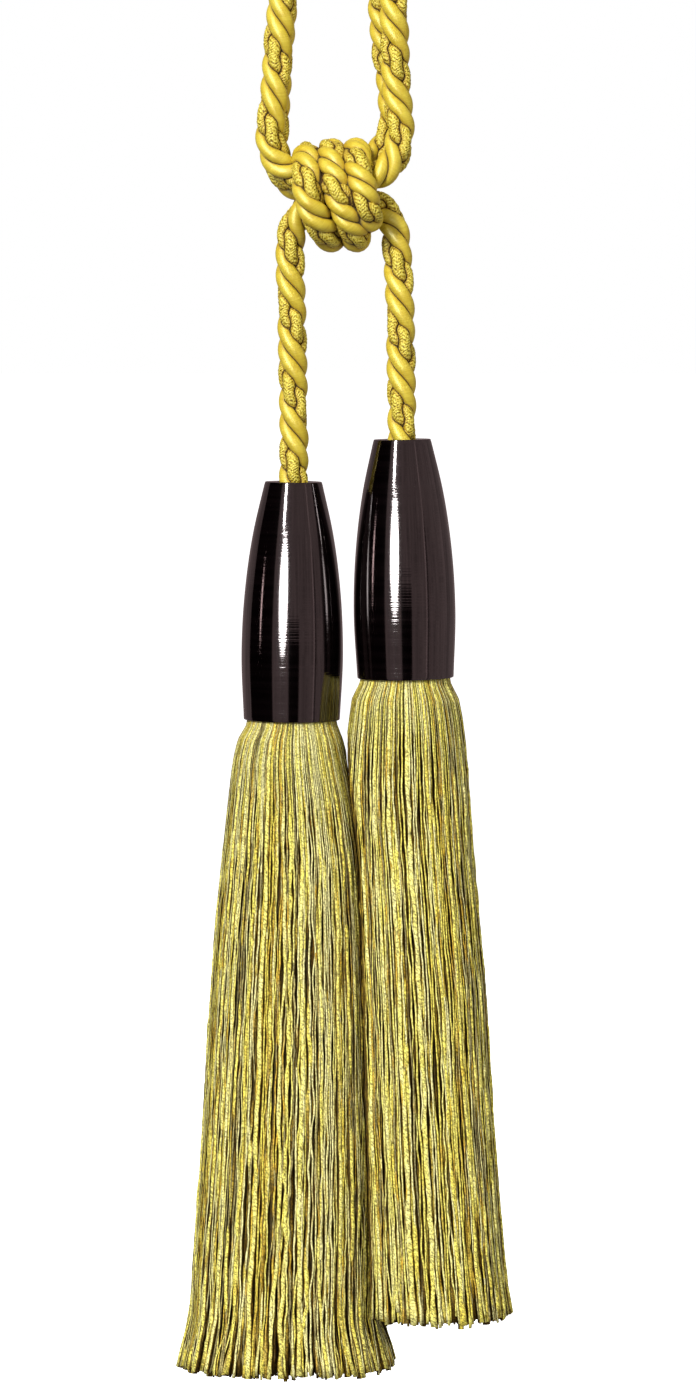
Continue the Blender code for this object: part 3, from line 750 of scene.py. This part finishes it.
PRESS_FRONT_Y = -14.0
# The plane where the skirts press together, down it: height, its X at PRESS_FRONT_Y, and how X turns with Y.
PRESS = (
    (-340.0, 2.6, 0.0), (-364.0, 3.1, 0.0), (-377.0, 4.6, 0.0), (-395.0, 6.7, 0.0), (-416.0, 7.6, 0.01),
    (-454.0, 8.5, 0.03), (-506.0, 10.3, 0.08), (-534.0, 11.1, 0.13), (-551.0, 11.4, 0.17), (-576.0, 21.5, 0.2),
)
# A row for each kind of yarn: how many, their radius, sides and sections, how deep below the surface they are
# spread, where they start up the skirt from its end (or from the neck), the tones, how far their ends fan, and
# how unevenly they are spaced, as a share of their spacing.
YARNS = {
    "thick": (76, 0.80, 6, 60, 0.60, 2.0, None, 0.36, 0.80, 1.0, 0.45),
    "thin": (180, 0.36, 3, 100, 0.28, 0.66, None, 0.0, 1.15, 1.6, 0.30),
    "under": (410, 0.34, 3, 42, 1.2, 2.15, None, 0.0, 1.0, 1.2, 0.45),
    "inner": (560, 0.62, 3, 6, 1.6, 26.0, 24.0, 0.1, 0.8, 1.6, 0.45),
}
FULLNESS = {"left": 1.18, "right": 0.90}  # share of those counts in each skirt
YARN_TWIST = 8.0  # length of one turn of a yarn's own twist
IN_CUP = 2.0  # where the yarns start, up inside the head
SECTION_CROWDING = 1.25  # over 1, a yarn's sections are closer together near the neck
# Lengths down from the neck over which yarns spread, lie packed and come loose, and up from the end for the fan.
SPREAD_RUN, PACKED_RUN, LOOSE_RUN, FAN_RUN = 12.0, 40.0, 45.0, 36.0
LEAST_DEPTH = 0.9  # of a yarn's middle below the surface, as a share of its radius
CUT_UNEVEN = 0.5  # the ends are cut this unevenly, and also in waves of cycles round the skirt and size
CUT_WAVES = ((17, 0.45), (41, 0.4))
SHORT_SHARE, SHORTER_BY = 0.05, (1, 3)  # a few yarns are shorter
# Waves that all yarns share, as cycles round the skirt, size in radians and length: they gather in strands.
GATHER_WAVES = ((9, 0.006, 90.0), (23, 0.004, 60.0), (41, 0.003, 40.0))
WANDER_WAVES = ((7, 12), (11, 18), (16, 30), (30, 60), (50, 110), (50, 110))  # a yarn's own, by shortest and longest
WANDER_TURN, WANDER_DEPTH = 0.013, 0.30  # how much of that goes round the skirt, in radians, and into it
CUP_PACKING = 26.0  # how deep the deepest yarns lie in the cup
SHADE_DEPTH = 1.27  # how far below the surface a yarn gets next to no light
PACKED_OPEN, PACKED_LIGHT = 0.8, 3.2  # how much less that counts, and how much lighter yarns are, where packed
PRESS_SHADE = (1.7, 0.04)  # how near the pressed plane yarns darken, and the least light there
INNER_LIGHT = 0.5
# A yarn's thickness in the cup as a share of its radius, and rows of how much more, after and over what length.
CUP_SQUEEZE = 0.62
SWELLS = ((0.38, 0.0, 50.0), (0.16, 60.0, 140.0))
END_SWELL, END_SWELL_RUN = 0.35, 9.0
YARN_SPREAD, YARN_LUMPS = (0.8, 1.2), 0.13  # thickness from yarn to yarn, and along one
THICKEST = 0.7  # a radius that the material takes as a thick yarn's
SIZE_SEED = 500


def rows_at(table, z):
    """The columns of a table of heights going down, read at heights between its rows."""
    rows = np.array(table)[::-1]
    return [np.interp(z, rows[:, 0], column) for column in rows.T[1:]]


def outline_at(side, z, angle, reach):
    """A point of the skirt's cross-section at a height: a superellipse scaled by reach about its middle. Also where
    the plane is on which the two skirts press together."""
    left, right, front, back = rows_at(SKIRTS[side], z)
    cos_a, sin_a = np.cos(angle), np.sin(angle)
    reach_x = np.sign(cos_a) * np.abs(cos_a) ** (2 / SKIRT_ROUNDNESS)
    reach_y = np.sign(sin_a) * np.abs(sin_a) ** (2 / SKIRT_ROUNDNESS)
    x = (left + right) / 2 + reach * reach_x * (right - left) / 2
    y = (front + back) / 2 + reach * reach_y * (back - front) / 2
    wall_x, wall_turn = rows_at(PRESS, z)
    return x, y, wall_x + wall_turn * (y - PRESS_FRONT_Y)


def own_side(side, x, wall, gap):
    """X kept at least a gap to a skirt's own side of the wall."""
    return np.minimum(x, wall - gap) if side == "left" else np.maximum(x, wall + gap)


def wander(rng, count, along):
    """A sideways drift for each yarn, about 1 in size: sine waves of its own lengths and phases, slow and quick."""
    drift = np.zeros((count, along.shape[-1]))
    for shortest, longest in WANDER_WAVES:
        wavelength = rng.uniform(shortest, longest, (count, 1))
        size = (wavelength / 75) ** 0.55 * rng.normal(0, 0.6, (count, 1))
        drift += size * np.sin(math.tau * (along / wavelength + rng.uniform(0, 1, (count, 1))))
    return drift


def skirt_yarns(side, kind, seed):
    """Middle lines, outward directions, light, tone and chance of many yarns. Each keeps a bearing round the skirt and
    a depth below its surface, and wanders a little in both, so that it dips behind its neighbours and comes out."""
    count, radius, sides, sections, least, most, tail, tone_from, tone_to, fan_deg, uneven = YARNS[kind]
    count = round(count * FULLNESS[side])
    rng = np.random.default_rng(seed)
    top, down = head_frame(side)
    neck = top + down * (HEAD_H - IN_CUP)
    bearing = ((np.arange(count) + uneven * rng.uniform(-1, 1, count)) * math.tau / count)[:, None]
    inset = least + (most - least) * ((np.arange(count) % 3 + rng.uniform(0, 1, count)) / 3)[:, None]
    end_z = SKIRTS[side][-1][0] + rng.normal(0, CUT_UNEVEN, count)
    for cycles, size in CUT_WAVES:
        end_z += size * np.sin(cycles * bearing[:, 0])
    end_z = np.where(rng.uniform(size=count) < SHORT_SHARE, end_z + rng.uniform(*SHORTER_BY, count), end_z)[:, None]
    start_z = neck[2] if tail is None else end_z + tail
    t = np.linspace(0, 1, sections) ** SECTION_CROWDING
    z = start_z + (end_z - start_z) * t
    along = neck[2] - z
    loose = ease(along / LOOSE_RUN)
    gather = sum(size * np.sin(cycles * bearing + 1.3 * np.sin(along / speed + 3 * bearing + cycles))
                 for cycles, size, speed in GATHER_WAVES)
    fan = np.clip(rng.standard_t(2.2, (count, 1)), -6, 6) * math.radians(fan_deg)
    fan = fan * np.clip((z - end_z - FAN_RUN) / -FAN_RUN, 0, 1) ** 2
    turned = bearing + loose * (gather + WANDER_TURN * wander(rng, count, along)) + fan
    depth = np.maximum(inset + loose * WANDER_DEPTH * wander(rng, count, 1.4 * along), radius * LEAST_DEPTH)
    left, right, front, back = rows_at(SKIRTS[side], z)
    x, y, wall = outline_at(side, z, turned, 1 - depth / ((right - left) / 2))
    x = own_side(side, x, wall, depth)
    cup_reach = (SKIRT_NECK_R - radius) * (1 - (inset - least) / CUP_PACKING)
    spread = 1 - (1 - np.clip(along / SPREAD_RUN, 0, 1)) ** 3
    cup_x, cup_y = neck[0] + cup_reach * np.cos(bearing), neck[1] + cup_reach * np.sin(bearing)
    x, y = cup_x + (x - cup_x) * spread, cup_y + (y - cup_y) * spread
    outward = unit(np.stack([x - (left + right) / 2, y - (front + back) / 2, np.zeros_like(x)], axis=2))
    packed = 1 - ease(along / PACKED_RUN)
    light = np.clip(1 - (1 - PACKED_OPEN * packed ** 2) * (depth - radius) / SHADE_DEPTH, 0.0, 1.0)
    light += PACKED_LIGHT * packed ** 4
    touching = z > SKIRTS["right"][-1][0] + 1.0
    light *= np.where(touching, np.clip(np.abs(wall - x) / PRESS_SHADE[0], PRESS_SHADE[1], 1.0), 1.0)
    if tail is not None:
        light = INNER_LIGHT * np.broadcast_to(t ** 3, light.shape)
    lines = np.stack([x, y, z], axis=2)
    return lines, outward, light, rng.uniform(tone_from, tone_to, count), rng.uniform(size=count)


def yarn_piece(name, side, kinds, seed, material):
    """A mesh piece of yarns as closed tubes with flat ends. The UV map holds the turn round, which is a whole number
    where the yarn faces out of the skirt, and the length along; the tint attribute holds tone, light (over 1 where
    the yarns are packed), thickness and chance."""
    points, corners, starts, uvs, tints = [], [], [], [], []
    point_base, corner_base = 0, 0
    for n, kind in enumerate(kinds):
        radius, sides = YARNS[kind][1:3]
        lines, outward, light, tone, chance = skirt_yarns(side, kind, seed + n)
        count, rows, _ = lines.shape
        rng = np.random.default_rng(seed + n + SIZE_SEED)
        out, across = frames_along(lines, outward)
        first_turn = 1 / 6 if sides == 3 else 0.0  # a three-sided yarn shows a flat side, not an edge
        fallen, to_end = lines[:, :1, 2] - lines[:, :, 2], lines[:, -1:, 2] - lines[:, :, 2]
        squeezed = CUP_SQUEEZE + sum(more * ease((fallen - after) / over) for more, after, over in SWELLS)
        size = radius * squeezed * rng.uniform(*YARN_SPREAD, (count, 1))
        size *= 1 + YARN_LUMPS * rng.normal(0, 1, (count, rows))
        size *= 1 + END_SWELL * ease(to_end / END_SWELL_RUN + 1)
        points.append(tube_grid(lines, out, across, size[..., None], sides, first_turn).reshape(-1, 3))
        k = np.arange(sides)
        tint = (tone[:, None, None], light[:, :, None], radius / THICKEST, chance[:, None, None] + 0 * k)
        tints.append(np.stack(np.broadcast_arrays(*tint), axis=3).reshape(-1, 4))
        length = lengths_along(lines)
        row, turn = ring_faces(rows, sides)
        yarn_base = (np.arange(count) * rows * sides)[:, None]
        quads = (yarn_base[:, :, None] + row * sides + turn % sides).reshape(-1, 4)
        uvs.append(np.stack(np.broadcast_arrays(turn / sides + first_turn, length[:, row]), axis=-1).reshape(-1, 2))
        ends = np.concatenate([yarn_base + k[::-1], yarn_base + (rows - 1) * sides + k])
        end_uv = np.zeros((len(ends), sides, 2))
        end_uv[count:, :, 1] = length[:, -1:]
        uvs.append(end_uv.reshape(-1, 2))
        corners += [(quads + point_base).ravel(), (ends + point_base).ravel()]
        starts += [corner_base + np.arange(len(quads)) * 4, corner_base + quads.size + np.arange(len(ends)) * sides]
        point_base += len(points[-1])
        corner_base += quads.size + ends.size
    points, corners, starts, uvs, tints = (np.concatenate(part) for part in (points, corners, starts, uvs, tints))
    return smooth_piece(name, points, corners, starts, uvs, np.zeros(len(starts)), ("tint", tints), [material])


def yarn_material():
    """Viscose yarn: straw and gold with some olive and orange among them, in light only where it lies on the
    skirt's surface and faces out of it, and flecked along its twist. Thick yarns are the more flecked."""
    material, shader, net = plain_material("skirt_yarn_strands", (0.7, 0.58, 0.16), 0.5, 0.25, (1.0, 0.92, 0.5))
    tint = net.add("ShaderNodeAttribute", attribute_name="tint").outputs
    tone, light, thickness = net.add("ShaderNodeSeparateColor", {"Color": tint["Color"]}).outputs[:3]
    own = net.calc("MULTIPLY", tint["Alpha"], 700.0)
    around, along = around_along(net)
    twist = {"Advance": YARN_TWIST, "Spread": 1.6, "Stretch": 1.3, "Shift": own}
    fleck = net.add("ShaderNodeGroup", twist, node_tree=wound_threads).outputs["Threads"]
    slow_place = net.calc("MULTIPLY", net.calc("MULTIPLY_ADD", along, 0.5, own), 0.16)
    slow = net.noise(net.add("ShaderNodeCombineXYZ", {2: slow_place}).outputs[0], 1.0, 1.0)
    place = net.place("Object")
    patch = net.noise(stretched(net, place, (230.0, 230.0, 60.0)), 1.0, 1.0)
    drift = net.calc("MULTIPLY_ADD", slow, 0.7, -0.35)
    melange = net.calc("MULTIPLY_ADD", patch, 0.6, -0.30)
    dye = colour_ramp(
        net, net.calc("ADD", tone, net.calc("ADD", drift, melange)),
        (0.0, 0.28, 0.235, 0.09), (0.10, 0.54, 0.455, 0.16), (0.19, 0.70, 0.43, 0.045), (0.30, 0.80, 0.64, 0.09),
        (0.52, 0.93, 0.80, 0.155), (0.70, 0.99, 0.875, 0.235), (1.0, 1.0, 0.92, 0.40),
    )
    dark = net.calc("SUBTRACT", 1.0, net.remap(fleck, 0.40, 0.56))
    dark = net.calc("MULTIPLY", dark, net.remap(thickness, 0.0, 1.0, 0.35, 0.8))
    facing = net.calc("COSINE", net.calc("MULTIPLY", around, math.tau))
    light_here = net.calc("MULTIPLY", light, net.remap(facing, 0.52, 0.84, 0.12, 1.05))
    reach = colour_ramp(
        net, light_here,
        (0.02, 0.030, 0.018, 0.004), (0.28, 0.13, 0.08, 0.025), (0.50, 0.48, 0.37, 0.18), (0.75, 1.0, 1.0, 1.0),
    )
    fuzz = net.remap(net.noise(place, 1500.0, 2.0, 0.6), 0.40, 0.56, 0.60, 1.22)
    level = net.calc("MULTIPLY", net.calc("SUBTRACT", 1.12, dark), fuzz)
    lit = net.add("ShaderNodeVectorMath", {0: dye, 1: reach}, operation="MULTIPLY").outputs["Vector"]
    bright = net.add("ShaderNodeVectorMath", {0: lit, "Scale": level}, operation="SCALE").outputs["Vector"]
    brightest = {0: bright, 1: (1.0, 0.95, 0.44)}
    colour = net.add("ShaderNodeVectorMath", brightest, operation="MINIMUM").outputs["Vector"]
    fill(shader, {"Base Color": colour, "Normal": bump(net, fleck, 0.6, 0.0004)})
    return material


def shadow_material():
    """The inside of the bundle, painted dark brown as shadow, since hardly any light gets in."""
    material, shader, net = plain_material("bundle_depth_painted_shadow", (0.045, 0.026, 0.008), 0.9)
    streak = net.noise(stretched(net, net.place("Object"), (900.0, 900.0, 40.0)), 1.0, 2.0)
    fill(shader, {"Base Color": colour_ramp(net, streak, (0.0, 0.012, 0.007, 0.002), (1.0, 0.16, 0.10, 0.03))})
    return material


CORE_SHARE = 0.80
CORE_NECK_R = 12.0
CORE_ENDS = (3.0, 4.0)  # how far it reaches into the cup, and stops short of the yarns' ends
CORE_GAP = 3.2  # from the pressed plane
CORE_SPREAD_RUN = 10.0


def core_parts(side):
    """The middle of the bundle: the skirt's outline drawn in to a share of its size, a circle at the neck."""
    top, down = head_frame(side)
    neck_z = top[2] - HEAD_H + CORE_ENDS[0]
    last_z = SKIRTS[side][-1][0] + CORE_ENDS[1]
    z = (neck_z + (last_z - neck_z) * np.linspace(0, 1, 30))[:, None]
    a = np.arange(48) * math.tau / 48
    x, y, wall = outline_at(side, z, a, CORE_SHARE)
    x = own_side(side, x, wall, CORE_GAP)
    neck_x = (top + down * HEAD_H)[0] + CORE_NECK_R * np.cos(a)
    neck_y = top[1] + CORE_NECK_R * np.sin(a)
    spread = ease((neck_z - z) / CORE_SPREAD_RUN)
    grid = np.stack(np.broadcast_arrays(neck_x + (x - neck_x) * spread, neck_y + (y - neck_y) * spread, z), axis=2)
    return tube_parts(grid[:, ::-1], 0)


yarn, shadow = yarn_material(), shadow_material()
for n, side in enumerate(TASSELS):
    core = make_piece(f"skirt_{side}_core", [core_parts(side)], [shadow])
    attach(core, "root")
    for k, kinds in enumerate((("thick", "inner"), ("thin",), ("under",))):
        yarns = yarn_piece(f"skirt_{side}_{kinds[0]}_yarns", side, kinds, 101 + 31 * n + 7 * k, yarn)
        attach(yarns, "root")
        if k == 0:
            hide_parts("skirt_" + side)
